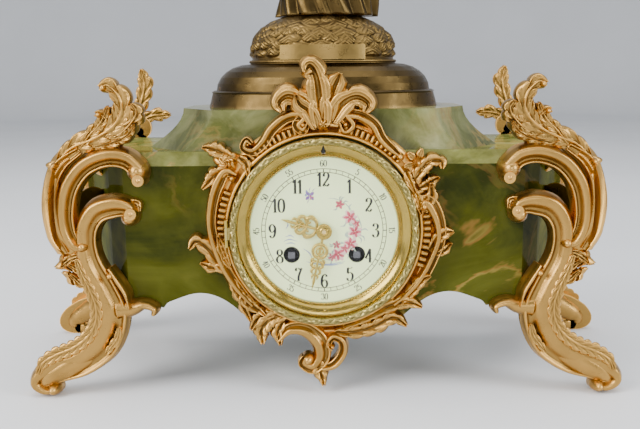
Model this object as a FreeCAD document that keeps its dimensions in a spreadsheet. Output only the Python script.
import FreeCAD, Part
import math
import os
import re
import Sketcher
from FreeCAD import Placement, Rotation, Vector

# Mantel clock: an onyx case on four gilt scroll legs, with a two-train striking
# movement in a bore behind the dial and a bronze figure on top.
# Millimetres. X runs to the right, Y to the back and Z up. The origin is on the
# surface that the clock stands on, midway between its feet.

# ---------------------------------------------------------------- dimensions

DIMENSIONS = [
    # the onyx case
    ("case_front", 62.0, "front face of the case, in front of the middle"),
    ("case_rear", 62.0, "rear face of the case, behind the middle"),
    ("panel_half", 133.5, "half width of the front panel"),
    ("corner_half", 149.0, "half width behind the front corner facet"),
    ("corner_depth", 22.0, "depth of the front corner facet"),
    ("flank_half", 187.0, "half width at the rear corner"),
    ("rear_half", 172.0, "half width of the rear face"),
    ("body_top", 156.6, "height of the joint under the slab"),
    ("belly_bottom", 40.0, "lowest point of the case"),
    ("skirt_bottom", 61.0, "height of the case's underside at the legs"),
    ("arch_top", 69.5, "height of the arch each side of the belly"),
    ("arch_half", 86.5, "sideways place of the arch's top"),
    ("slab_thick", 9.4, "thickness of the slab"),
    ("block_tall", 27.0, "height of the cavetto block"),
    ("block_foot_half", 124.0, "half width of the block's foot"),
    ("block_top_half", 98.0, "half width of the block's top"),
    ("block_inset", 2.0, "step from the slab's front to the block's front"),
    # the dial and its rings
    ("dial_up", "=body_top - 43.6", "height of the dial's centre"),
    ("dial_out", 66.5, "front of the enamel, in front of the middle"),
    ("bore_rad", 45.5, "radius of the bore through the case, behind the dial"),
    ("dial_rad", "=bore_rad + 4.5", "radius of the enamel disc"),
    ("dial_thick", 2.0, "thickness of the enamel disc"),
    ("ring_rad", "=dial_rad + 10", "outer radius of the fixed dial ring"),
    ("rehaut_rad", "=dial_rad + 8", "outer radius of the raised ring round the dial"),
    ("bezel_rad", "=dial_rad + 12.5", "outer radius of the hinged bezel"),
    ("bezel_front", 76.0, "front of the bezel, in front of the middle"),
    ("glass_thick", 2.0, "thickness of the bezel's glass"),
    # the bore and the movement
    ("plate_rad", "=bore_rad - 2", "radius of the movement plates"),
    ("plate_thick", 3.0, "thickness of a movement plate"),
    ("plate_gap", 34.0, "space between the movement plates"),
    ("front_plate_y", "=6 - case_front", "front face of the front plate"),
    ("key_half", 21.8, "sideways place of each winding square"),
    ("key_drop", 16.2, "how far the winding squares are below the centre"),
    ("key_hole", 5.6, "radius of a winding hole in the dial"),
    ("pendulum_drop", 81.5, "suspension to the middle of the bob"),
    ("bob_rad", 11.0, "radius of the bob"),
    ("bell_rad", 30.0, "radius of the bell's mouth"),
    ("pivot_play", 0.05, "radial clearance of a pivot in its hole"),
    # bronze on top
    ("socle_half", 82.5, "half width of the oval socle"),
    ("socle_deep", 57.0, "half depth of the oval socle"),
    ("socle_tall", 30.0, "height of the socle"),
    ("mound_half", 52.0, "half width of the ground under the figure"),
    ("mound_deep", 42.0, "half depth of the ground under the figure"),
    ("mound_tall", 33.0, "height of the ground"),
    ("figure_tall", 300.0, "height of the figure above the ground"),
    # the legs
    ("front_foot", 187.0, "half width across the front feet"),
    ("rear_foot", 209.0, "half width across the rear feet"),
    ("foot_deep", 82.5, "feet in front of and behind the middle"),
    ("wing_thick", 8.0, "thickness of a leg's wing"),
]

doc = FreeCAD.newDocument("mantel_clock")
sheet = doc.addObject("Spreadsheet::Sheet", "Dim")
for row, (alias, value, note) in enumerate(DIMENSIONS, start=1):
    sheet.set(f"A{row}", alias.replace("_", " "))
    sheet.set(f"B{row}", str(value))
    sheet.set(f"C{row}", note)
    sheet.setAlias(f"B{row}", alias)
doc.recompute()

ALIASES = {alias for alias, value, note in DIMENSIONS}


def bound(text):
    """An expression in sheet aliases, written out for another object to use."""
    return re.sub(r"[a-z][a-z_0-9]*", lambda w: "Dim." + w[0] if w[0] in ALIASES else w[0], str(text))


def size(text):
    """The number that an expression in sheet aliases stands for."""
    return float(sheet.evalExpression(bound(text)))


# ---------------------------------------------------------------- shared ways of making

SUBPARTS = []
FACING = {
    "up": Rotation(),
    "front": Rotation(Vector(1, 0, 0), 90),
    "back": Rotation(Vector(1, 0, 0), -90),
}


def keep(piece, label):
    """Lists a finished piece under the name that its file gets."""
    piece.Label = label
    SUBPARTS.append(piece)
    return piece


def shaped(label, shape):
    """A piece whose outline no primitive or sketch gives: its shape is set as a whole."""
    piece = doc.addObject("Part::Feature", label)
    piece.Shape = shape
    piece.Placement = Placement()
    return keep(piece, label)


def place(piece, at, facing="up"):
    """Turns a piece and binds its place to expressions for X, Y and Z."""
    piece.Placement = Placement(Vector(*[size(a) for a in at]), FACING[facing])
    for axis, text in zip("xyz", at):
        piece.setExpression("Placement.Base." + axis, bound(text))


def origin_plane(body, role):
    return next(f for f in body.Origin.OriginFeatures if f.Role == role)


def new_sketch(body, name, role):
    sketch = body.newObject("Sketcher::SketchObject", name)
    sketch.AttachmentSupport = (origin_plane(body, role), [""])
    sketch.MapMode = "FlatFace"
    return sketch


def draw_polygon(sketch, corners):
    """A closed outline of straight lines whose corners are bound to expressions."""
    spots = [(size(x), size(y)) for x, y in corners]
    first = sketch.GeometryCount
    count = len(corners)
    for i in range(count):
        start, end = spots[i], spots[(i + 1) % count]
        sketch.addGeometry(Part.LineSegment(Vector(*start, 0), Vector(*end, 0)))
    for i in range(count):
        link = Sketcher.Constraint("Coincident", first + i, 2, first + (i + 1) % count, 1)
        sketch.addConstraint(link)
    for i, (corner, spot) in enumerate(zip(corners, spots)):
        for way, text, value in zip(("DistanceX", "DistanceY"), corner, spot):
            pin = sketch.addConstraint(Sketcher.Constraint(way, -1, 1, first + i, 1, value))
            sketch.setExpression(f"Constraints[{pin}]", bound(text))


def turned(label, profile, at, facing):
    """A lathe-turned piece. The profile is (radius, distance along the axis) corners."""
    body = doc.addObject("PartDesign::Body", label)
    sketch = new_sketch(body, label + "_profile", "XZ_Plane")
    draw_polygon(sketch, profile)
    spin = body.newObject("PartDesign::Revolution", label + "_turning")
    spin.Profile = sketch
    spin.ReferenceAxis = (sketch, ["V_Axis"])
    spin.Angle = 360
    place(body, at, facing)
    return keep(body, label)


def padded(label, draw, role, length, at=(0, 0, 0), facing="up"):
    """A body padded from the outline that draw(sketch) makes."""
    body = doc.addObject("PartDesign::Body", label)
    sketch = new_sketch(body, label + "_outline", role)
    draw(sketch)
    pad = body.newObject("PartDesign::Pad", label + "_pad")
    pad.Profile = sketch
    pad.Midplane = role == "XZ_Plane"
    pad.setExpression("Length", bound(length))
    place(body, at, facing)
    return keep(body, label)


def mirrored_corners(right_half):
    """Corners of an outline that is the same on both sides, from its right half."""
    left_half = [("-(" + str(x) + ")", y) for x, y in reversed(right_half) if str(x) != "0"]
    return right_half + left_half


def rod(radius, start, end):
    """A plain round bar between two points."""
    along = Vector(*end) - Vector(*start)
    return Part.makeCylinder(radius, along.Length, Vector(*start), along)


def bar_y(radius, at, y0, y1):
    """A round bar along Y at an (x, z) place."""
    return Part.makeCylinder(radius, y1 - y0, Vector(at[0], y0, at[1]), Vector(0, 1, 0))


def box_between(low, high):
    low, high = Vector(*low), Vector(*high)
    span = high - low
    return Part.makeBox(span.x, span.y, span.z, low)


def hexagon(flats, at, along, thick):
    """A six-sided prism from a point along a direction."""
    corner = flats / math.sqrt(3)
    prism = Part.makePolygon([
        Vector(corner * math.cos(a * math.pi / 3), corner * math.sin(a * math.pi / 3), 0)
        for a in range(7)])
    solid = Part.Face(prism).extrude(Vector(0, 0, thick))
    solid.Placement = Placement(Vector(*at), Rotation(Vector(0, 0, 1), Vector(*along)))
    return solid


def ribbon(points, widths, y0, y1):
    """A flat scroll: a band along smooth (x, z) points, as wide as widths say, from y0 to y1."""
    middle = Part.BSplineCurve()
    middle.interpolate([Vector(x, 0, z) for x, z in points])
    steps = 3 * len(points)
    first, last = middle.FirstParameter, middle.LastParameter
    sides = ([], [])
    for i in range(steps + 1):
        share = i / steps
        t = first + (last - first) * share
        spot, way = middle.value(t), middle.tangent(t)[0]
        across = Vector(-way.z, 0, way.x)
        k = min(int(share * (len(widths) - 1)), len(widths) - 2)
        part = share * (len(widths) - 1) - k
        half = (widths[k] * (1 - part) + widths[k + 1] * part) / 2
        sides[0].append(spot + across * half)
        sides[1].append(spot - across * half)
    edges = []
    for side in sides:
        curve = Part.BSplineCurve()
        curve.interpolate(side)
        edges.append(curve.toShape())
    caps = [Part.makeLine(sides[0][i], sides[1][i]) for i in (0, -1)]
    wire = Part.Wire(Part.__sortEdges__(edges + caps))
    solid = Part.Face(wire).extrude(Vector(0, y1 - y0, 0))
    solid.translate(Vector(0, y0, 0))
    return solid


# ---------------------------------------------------------------- the onyx case

CASE_PLAN = mirrored_corners([
    ("panel_half", "-case_front"),
    ("corner_half", "-(case_front - corner_depth)"),
    ("flank_half", "case_rear - corner_depth"),
    ("rear_half", "case_rear"),
])


def cylinder(name, radius, length, at, facing="up"):
    """A Part cylinder bound to expressions."""
    piece = doc.addObject("Part::Cylinder", name)
    piece.setExpression("Radius", bound(radius))
    piece.setExpression("Height", bound(length))
    place(piece, at, facing)
    return piece


def block(name, length, width, height, at):
    """A Part box bound to expressions, from its low corner."""
    piece = doc.addObject("Part::Box", name)
    for side, text in (("Length", length), ("Width", width), ("Height", height)):
        piece.setExpression(side, bound(text))
    place(piece, at)
    return piece


def joined(name, pieces):
    group = doc.addObject("Part::MultiFuse", name)
    group.Shapes = pieces
    return group


def carved(label, base, tools):
    """What is left of one piece after others are cut out of it."""
    SUBPARTS.remove(base)
    base.Label = label + "_blank"
    cut = doc.addObject("Part::Cut", label)
    cut.Base = base
    cut.Tool = joined(label + "_cuts", tools)
    return keep(cut, label)


def bore_tool(name):
    """The bore for the movement, right through the case along Y."""
    start = ("0", "-case_front - 1", "dial_up")
    return cylinder(name, "bore_rad", "case_front + case_rear + 2", start, "back")


def channel_tools(name):
    """The channels over the bore: a narrow one for the regulator arbor, a wide one behind for its cock."""
    narrow = block(name + "_narrow", CHANNEL_WIDE, "case_front + case_rear + 2", CHANNEL_TALL,
                   (f"-{CHANNEL_WIDE} / 2", "-case_front - 1", "dial_up"))
    wide = block(name + "_wide", COCK_CHANNEL_WIDE, f"case_rear + 1 - {COCK_CHANNEL_Y}", CHANNEL_TALL,
                 (f"-{COCK_CHANNEL_WIDE} / 2", COCK_CHANNEL_Y, "dial_up"))
    return [narrow, wide]


def stud_holes(name):
    """Clearance holes for the two studs that hold the socle down."""
    tall = "body_top + slab_thick + block_tall"
    return [cylinder(f"{name}_{side}", STUD_HOLE, tall, (x, STUD_Y, STUD_SEAT))
            for side, x in (("left", f"-{STUD_X}"), ("right", STUD_X))]


CHANNEL_WIDE = "8"
CHANNEL_TALL = "(dial_rad + 7)"
COCK_CHANNEL_WIDE = "26"
COCK_CHANNEL_Y = "(front_plate_y + 2 * plate_thick + plate_gap - 1)"
SLOT_HALF = "(bob_rad + 4.8)"
SLOT_FOOT = "(dial_up + 36.2 - pendulum_drop - bob_rad - 0.9)"
STUD_X = "max(24; 1.6 * bore_rad - 48.8)"
STUD_Y = "28"
STUD_SEAT = "(body_top - 4.6)"
STUD_RADIUS = 3.0
STUD_HOLE = "3.3"
BOSS_RADIUS = 7.0


def underside_tool():
    """What the arches and the belly leave free under the case: a smooth line swept along Y."""
    belly, skirt, arch = size("belly_bottom"), size("skirt_bottom"), size("arch_top")
    half, wide = size("arch_half"), size("flank_half") + 20
    line = [
        (0, belly), (0.36 * half, belly + 2.5), (0.57 * half, belly + 0.33 * (arch - belly)),
        (0.77 * half, belly + 0.8 * (arch - belly)), (half, arch),
        (1.2 * half, arch - 0.6 * (arch - skirt)), (1.27 * half, skirt - 1.5)]
    curve = Part.BSplineCurve()
    curve.interpolate([Vector(x, 0, z) for x, z in line], InitialTangent=Vector(1, 0, 0),
                      FinalTangent=Vector(0.5, 0, -1))
    end = line[-1]
    corners = [end, (1.36 * half, skirt), (wide, skirt), (wide, 0), (0, 0), line[0]]
    edges = [curve.toShape()]
    edges += [Part.makeLine(Vector(a[0], 0, a[1]), Vector(b[0], 0, b[1]))
              for a, b in zip(corners, corners[1:])]
    face = Part.Face(Part.Wire(Part.__sortEdges__(edges)))
    reach = size("case_front") + 20
    right = face.extrude(Vector(0, 2 * reach, 0))
    right.translate(Vector(0, -reach, 0))
    left = right.mirror(Vector(0, 0, 0), Vector(1, 0, 0))
    tool = doc.addObject("Part::Feature", "underside_tool")
    tool.Shape = Part.Compound([right, left])
    return tool


def onyx_body():
    blank = padded("onyx_body", lambda s: draw_polygon(s, CASE_PLAN), "XY_Plane",
                   "body_top - belly_bottom", ("0", "0", "belly_bottom"))
    slot = block("pendulum_slot", f"2 * {SLOT_HALF}", f"case_rear + 1 - {COCK_CHANNEL_Y}", "60",
                 (f"-{SLOT_HALF}", COCK_CHANNEL_Y, SLOT_FOOT))
    seats = [cylinder(f"nut_seat_{side}", "6.6", "20", (x, STUD_Y, STUD_SEAT + " - 20"))
             for side, x in (("left", f"-{STUD_X}"), ("right", STUD_X))]
    tools = [bore_tool("body_bore"), slot] + seats + channel_tools("body_channel")
    tools += stud_holes("body_stud") + leg_screw_holes("body_screw")
    first = carved("onyx_body", blank, tools)
    SUBPARTS.remove(first)
    first.Label = "onyx_body_bored"
    cut = doc.addObject("Part::Cut", "onyx_body_arched")
    cut.Base = first
    cut.Tool = underside_tool()
    keep(cut, "onyx_body")


def onyx_slab():
    blank = padded("onyx_slab", lambda s: draw_polygon(s, CASE_PLAN), "XY_Plane",
                   "slab_thick", ("0", "0", "body_top"))
    tools = [bore_tool("slab_bore")] + channel_tools("slab_channel") + stud_holes("slab_stud")
    carved("onyx_slab", blank, tools)


def cavetto_section(share):
    """The block's plan at a share of its height from the top, spreading like a quarter circle."""
    spread = 1 - math.cos(share * math.pi / 2 * 0.96)
    top, foot = size("block_top_half"), size("block_foot_half")
    side = top + (foot - top) * spread
    facet = side * (0.745 + 0.01 * share)
    front = size("case_front") - size("block_inset")
    back = size("case_rear") - size("block_inset")
    waist = 0.37
    corners = [(facet, -front), (side, -front * waist), (side, back * waist), (facet, back)]
    corners += [(-x, y) for x, y in reversed(corners)]
    z = size("body_top + slab_thick + block_tall") - share * size("block_tall")
    return Part.makePolygon([Vector(x, y, z) for x, y in corners + corners[:1]])


def onyx_top_block():
    steps = 7
    loft = Part.makeLoft([cavetto_section(i / steps) for i in range(steps, -1, -1)], True, True)
    blank = shaped("onyx_top_block", loft)
    carved("onyx_top_block", blank,
           [bore_tool("block_bore")] + channel_tools("block_channel") + stud_holes("block_stud"))


# ---------------------------------------------------------------- the legs

# A leg is a corner casting with two alike wings. Its outlines are (inwards from the
# corner, height) points, and each wing carries them along one side of the corner.
MAIN_SCROLL = [(62, 157), (55, 163), (43, 164), (29, 158.5), (17, 146), (12, 130), (13, 114), (23, 104)]
MAIN_SCROLL_WIDE = [13, 14, 15, 17, 20, 21, 19, 9]
VOLUTE = (64.5, 154.5)
VOLUTE_RADIUS = 7.5
LEAF_SCROLL = [(29, 92), (27, 105), (29, 117), (37, 127), (47, 130.5), (56, 129), (60, 123)]
LEAF_SCROLL_WIDE = [19, 16, 17, 20, 20, 16, 9]
SPRAYS = [
    ([(15, 159.5), (28, 171), (43, 178.5), (54, 188), (56, 198), (51, 206)], [9, 14, 18, 17, 13, 5]),
    ([(42, 174), (56, 180), (65, 189), (65, 195)], [8, 11, 8, 4]),
]
SPUR = [(46, 62), (56, 61.5), (64, 63.5), (71, 61)]
SPUR_WIDE = [16, 12, 7.5, 6]
SPRAY_BACK = 0.1
SPRAY_FRONT = 0.75
SPUR_FRONT = 0.8
# height, distance inwards from the corner, and width of the shin from its top to the foot
SHIN = [
    (112, 19, 16), (95, 20, 17), (75, 28, 21), (60, 31, 23), (45, 27, 24), (32, 12, 27),
    (20, -8, 27), (10, -13, 24), (0, -9, 17),
]
LEG_DRAWN_FOR = 156.6
LEG_STRETCH = size("body_top") / LEG_DRAWN_FOR
REAR_WAIST = 0.5
TOE_DEEP = 0.6
SHIN_BEVEL = 0.55
WING_REACH = 66.0
CORNER_Y = size("case_front") + 14.0
REAR_SHIFT = "(rear_foot - front_foot)"
FAR = 200.0
LEG_SCREWS = [(60, 127), (66, 149)]
SCREW_RADIUS = 1.9
SCREW_LONG = 24.0


def outline(points):
    """A leg's (inwards, height) points, put along -X and stretched upwards with the case."""
    return [(-u, z * LEG_STRETCH) for u, z in points]


def wing(thick):
    """One wing's scrolls, flat, with the corner on the Z axis and the wing running along -X, face at -Y."""
    parts = [ribbon(outline(MAIN_SCROLL), MAIN_SCROLL_WIDE, 0, thick)]
    parts.append(bar_y(VOLUTE_RADIUS, outline([VOLUTE])[0], 0, thick))
    parts.append(ribbon(outline(LEAF_SCROLL), LEAF_SCROLL_WIDE, 0, thick))
    for line, widths in SPRAYS:
        parts.append(ribbon(outline(line), widths, thick * SPRAY_BACK, thick * SPRAY_FRONT))
    parts.append(ribbon(outline(SPUR), SPUR_WIDE, 0, thick * SPUR_FRONT))
    return parts[0].multiFuse(parts[1:])


def flank_x(y):
    """Half width of the case's side at a depth."""
    y0, y1 = -(size("case_front") - size("corner_depth")), size("case_rear") - size("corner_depth")
    return size("corner_half") + (size("flank_half") - size("corner_half")) * (y - y0) / (y1 - y0)


def leg(label, side, end):
    """side is 1 for the right and -1 for the left, end is -1 for the front and 1 for the rear."""
    shift, waist = (0.0, 1.0) if end < 0 else (size(REAR_SHIFT), REAR_WAIST)
    corner_x = size("front_foot") - 1 + shift
    face = size("case_front") if end < 0 else size("case_rear")
    thick = CORNER_Y - face
    front = wing(thick)
    lean = math.degrees(math.asin((corner_x - flank_x(end * (CORNER_Y - WING_REACH)) - 1) / WING_REACH))
    flank = wing(size("wing_thick"))
    flank = flank.mirror(Vector(0, 0, 0), Vector(0, 1, 0))
    flank.rotate(Vector(0, 0, 0), Vector(0, 0, 1), -90 + lean)
    sections = []
    for z, inward, wide in SHIN:
        x = -inward * waist
        y = inward * (waist if inward > 0 else TOE_DEEP)
        ring = [
            (x, y), (x - wide, y), (x - wide, y + wide * SHIN_BEVEL),
            (x - wide * SHIN_BEVEL, y + wide), (x, y + wide),
        ]
        level = z * LEG_STRETCH
        sections.append(Part.makePolygon([Vector(x, y, level) for x, y in ring + ring[:1]]))
    shin = Part.makeLoft(sections, True, True)
    whole = front.multiFuse([flank, shin])
    if end > 0:
        whole = whole.mirror(Vector(0, 0, 0), Vector(0, 1, 0))
    whole.translate(Vector(corner_x, end * CORNER_Y, 0))
    if side < 0:
        whole = whole.mirror(Vector(0, 0, 0), Vector(1, 0, 0))
    skirt = size("skirt_bottom")
    plan = Part.makePolygon([Vector(size(x), size(y), skirt) for x, y in CASE_PLAN + CASE_PLAN[:1]])
    case = Part.Face(plan).extrude(Vector(0, 0, size("body_top + slab_thick - skirt_bottom")))
    cut = whole.cut(case)
    for screw in leg_screw_spots():
        if screw[0] * side > 0 and screw[1] * end > 0:
            start, stop = (screw[0], -FAR * end, screw[2]), (screw[0], FAR * end, screw[2])
            cut = cut.cut(rod(SCREW_RADIUS, start, stop))
    best = max(cut.Solids, key=lambda s: s.Volume)
    return shaped(label, best)


def leg_screw_spots():
    """(x, y, z) of each leg screw's place on the case's face, front pair of each side first."""
    spots = []
    for side in (-1, 1):
        for end in (-1, 1):
            shift = 0.0 if end < 0 else size(REAR_SHIFT)
            face = -size("case_front") if end < 0 else size("case_rear")
            for u, z in LEG_SCREWS:
                spots.append((side * (size("front_foot") - 1 + shift - u), face, z * LEG_STRETCH))
    return spots


def leg_screw_holes(name):
    """Blind holes in the case for the leg screws."""
    holes = doc.addObject("Part::Feature", name)
    shapes = []
    for x, y, z in leg_screw_spots():
        inward = math.copysign(SCREW_LONG / 2 + 1, -y)
        shapes.append(rod(SCREW_RADIUS, (x, y - inward, z), (x, y + inward, z)))
    holes.Shape = Part.Compound(shapes)
    return [holes]


def leg_screws():
    screws = []
    for x, y, z in leg_screw_spots():
        out = math.copysign(1, y)
        thick = CORNER_Y - abs(y)
        head_at, tip_at = (x, y + out * thick, z), (x, y - out * SCREW_LONG / 2, z)
        shank = rod(SCREW_RADIUS - size("pivot_play"), head_at, tip_at)
        head = rod(2 * SCREW_RADIUS, (x, y + out * thick, z), (x, y + out * (thick + 1.6), z))
        screws.append(shank.fuse(head).removeSplitter())
    shaped("leg_screws", Part.Compound(screws))


# ---------------------------------------------------------------- bronze on top

def oval(profile, half, deep, base):
    """A turned profile of (radius, height) points squeezed front to back, so its outline is an oval."""
    points = [Vector(r, 0, z) for r, z in profile]
    solid = Part.Face(Part.makePolygon(points + points[:1])).revolve(Vector(), Vector(0, 0, 1), 360)
    squeeze = FreeCAD.Matrix()
    squeeze.scale(1, deep / half, 1)
    solid = solid.transformGeometry(squeeze)
    solid.translate(Vector(0, 0, base))
    return solid


def arc_points(centre, radius, start, stop, steps):
    """Points of a round stretch of a profile, angles in degrees."""
    turns = [math.radians(start + (stop - start) * i / steps) for i in range(steps + 1)]
    return [(centre[0] + radius[0] * math.cos(t), centre[1] + radius[1] * math.sin(t)) for t in turns]


def socle():
    half, tall = size("socle_half"), size("socle_tall")
    wall = 5.0
    band, lip = half - 2.5, half - 0.5
    crown = size("mound_half") + 0.5
    outer = [(half, 0), (lip, 2), (band, 9.5), (band + 0.6, 10.5), (band - 1.5, 11.5)]
    outer += arc_points((crown, 11.5), (band - 3 - crown, tall - 11.5), 0, 90, 6)
    inner = [(r - wall, z) for r, z in outer if z < tall - 1.5 * wall]
    inner += [(crown - wall, tall - wall), (0, tall - wall)]
    base = size("body_top + slab_thick + block_tall")
    profile = outer + [(0, tall)] + inner[::-1]
    shell = oval(profile, half, size("socle_deep"), base)
    stud_x, stud_y = size(STUD_X), size(STUD_Y)
    boss_top = base + tall - wall - BOSS_RADIUS
    bosses = [rod(BOSS_RADIUS, (side * stud_x, stud_y, base), (side * stud_x, stud_y, boss_top))
              for side in (-1, 1)]
    shell = shell.multiFuse(bosses)
    for side in (-1, 1):
        x, y = side * size(STUD_X), size(STUD_Y)
        shell = shell.cut(rod(STUD_RADIUS, (x, y, base - 1), (x, y, base + SOCKET_DEEP)))
    shell = shell.cut(rod(FIGURE_BOLT, (0, 0, base), (0, 0, base + tall + 1)))
    shaped("socle", shell)


SOCKET_DEEP = 12.0
FIGURE_BOLT = 4.2


def socle_fixings():
    """Two studs down through the onyx, each with a washer-faced nut in the bore."""
    seat = size(STUD_SEAT)
    base = size("body_top + slab_thick + block_tall")
    studs, nuts = [], []
    for side in (-1, 1):
        x, y = side * size(STUD_X), size(STUD_Y)
        studs.append(rod(STUD_RADIUS, (x, y, seat - 8), (x, y, base + SOCKET_DEEP)))
        washer = rod(6.2, (x, y, seat - 1.2), (x, y, seat))
        nut = hexagon(9.5, (x, y, seat - 6), (0, 0, 1), 5).fuse(washer)
        nuts.append(nut.cut(rod(STUD_RADIUS, (x, y, seat - 9), (x, y, seat + 1))))
    shaped("socle_studs", Part.Compound(studs))
    shaped("socle_nuts", Part.Compound(nuts))


def figure():
    """The ground, the draped body and the head: plain closed solids of the true outer size."""
    base = size("body_top + slab_thick + block_tall + socle_tall")
    half, deep, tall = size("mound_half"), size("mound_deep"), size("mound_tall")
    ground = oval([(0, 0), (half, 0), (half, 0.42 * tall), (0.95 * half, 0.6 * tall), (0.86 * half, 0.82 * tall),
                   (0.7 * half, tall), (0, tall)], half, deep, base)
    ground = ground.cut(rod(FIGURE_BOLT - 0.2, (0, 0, base - 1), (0, 0, base + 0.6 * tall)))
    plaque_back = ground.copy()
    shaped("figure_ground", ground)
    plaque_face = oval([(0, 0), (half + 1.6, 0), (half + 1.6, PLAQUE_TALL), (0, PLAQUE_TALL)],
                       half, deep, base + PLAQUE_LIFT)
    window = box_between((-PLAQUE_HALF, -2 * half, base), (PLAQUE_HALF, 0, base + tall))
    plaque = plaque_face.common(window).cut(plaque_back)
    shaped("title_plaque", max(plaque.Solids, key=lambda s: s.Volume))
    foot = base + tall
    height = size("figure_tall")
    sections = []
    for share, x, rx, ry in ROBE:
        ring = Part.Ellipse(Vector(x, 0, foot + share * height), rx, ry)
        sections.append(Part.Wire(ring.toShape()))
    robe = Part.makeLoft(sections, True, False)
    shaped("figure_body", robe)
    head = Part.makeSphere(1)
    stretch = FreeCAD.Matrix()
    stretch.scale(HEAD[0], HEAD[1], (1 - CHIN) * height / 2)
    head = head.transformGeometry(stretch)
    head.translate(Vector(ROBE[-1][1], 0, foot + (1 + CHIN) * height / 2))
    shaped("figure_head", head.cut(robe))
    inside = base - size("socle_tall") + 14
    bolt = rod(FIGURE_BOLT - 0.2, (0, 0, inside), (0, 0, base + 0.6 * tall))
    nut = hexagon(13, (0, 0, base - 5 - 6), (0, 0, 1), 6)
    shaped("figure_bolt", bolt.fuse(nut).removeSplitter())


PLAQUE_HALF = 29.0
PLAQUE_TALL = 10.0
PLAQUE_LIFT = 2.5
# share of the figure's height, sideways place, half width and half depth of the drapery
ROBE = [(0, 3, 34, 28), (0.05, 5, 33, 27), (0.2, 3, 29, 24), (0.4, 1, 25, 21), (0.55, 0, 29, 22),
        (0.68, 0, 27, 20), (0.78, 0, 31, 19), (0.825, 0, 27, 16), (0.85, 0, 12, 11), (0.885, 0, 9, 9)]
HEAD = (14.0, 16.5)
CHIN = 0.86


# ---------------------------------------------------------------- the dial, its rings and the cartouche

# Cartouche scrolls: (x, height above the dial's centre) points and widths.
CARTOUCHE = [
    ([(2, 64), (1, 76), (-2, 90), (-2, 105)], [44, 34, 24, 9]),
    ([(-6, 70), (-14, 80), (-24, 84)], [16, 16, 8]),
    ([(8, 70), (17, 80), (29, 83)], [16, 16, 8]),
    ([(-8, 70), (-28, 68), (-42, 58), (-50, 50)], [12, 11, 10, 10]),
    ([(10, 70), (27, 68), (40, 58), (48, 49)], [12, 11, 10, 10]),
    ([(-48, 47), (-62, 50), (-75, 47)], [22, 28, 16]),
    ([(47, 48), (59, 50), (74, 45)], [22, 26, 16]),
    ([(-66, 30), (-71, 10), (-66, -18), (-55, -40)], [12, 13, 13, 14]),
    ([(66, 30), (71, 10), (68, -16), (57, -38)], [12, 13, 13, 14]),
    ([(-66, -20), (-74, -8), (-85, -2)], [12, 14, 9]),
    ([(66, -12), (74, -8), (81, -2)], [12, 14, 9]),
    ([(-50, -42), (-46, -58), (-40, -70)], [20, 24, 12]),
    ([(-30, -58), (-18, -66), (-8, -74), (-3, -90), (0, -105)], [16, 22, 30, 26, 8]),
    ([(12, -66), (35, -66), (54, -58), (64, -48)], [20, 16, 13, 5]),
]
RING_GAP = 0.8
HINGE_OUT = 1.7
BEZEL_BACK = 8.2
HINGE_Y = -(size("case_front") + 12.0)
KNUCKLE_RADIUS = 1.5
PIN_RADIUS = 0.8
KNUCKLE_HALF = 4.0
HINGE_HALF = 9.0
REGULATOR_UP = size("dial_rad") + 3.0
REGULATOR_HOLE = 2.2


def knuckles(x, y, z, low_high, hole):
    """Hinge barrels round a vertical axis, over the stretches of height given."""
    rings = []
    for low, high in low_high:
        barrel = rod(KNUCKLE_RADIUS, (x, y, z + low), (x, y, z + high))
        rings.append(barrel.cut(rod(hole, (x, y, z + low - 1), (x, y, z + high + 1))))
    return rings


def cartouche():
    """The frame round the bezel: a ring with scrolls, leaves and flowers standing out of it."""
    back, front = -size("case_front"), -size("case_front") - 9.0
    inner = size("bezel_rad") + RING_GAP
    up = size("dial_up")
    ring = bar_y(inner + 7.5, (0, up), front, back)
    scrolls = [ribbon([(x, up + z) for x, z in line], widths, front, back) for line, widths in CARTOUCHE]
    whole = ring.multiFuse(scrolls)
    whole = whole.cut(bar_y(inner, (0, up), front - 1, back + 1))
    hinge_x = -(size("bezel_rad") + HINGE_OUT)
    reach = HINGE_HALF + 0.6
    whole = whole.cut(box_between((hinge_x - 2.6, front - 1, up - reach), (0, back + 1, up + reach)))
    shaped("cartouche", max(whole.Solids, key=lambda s: s.Volume))


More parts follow.
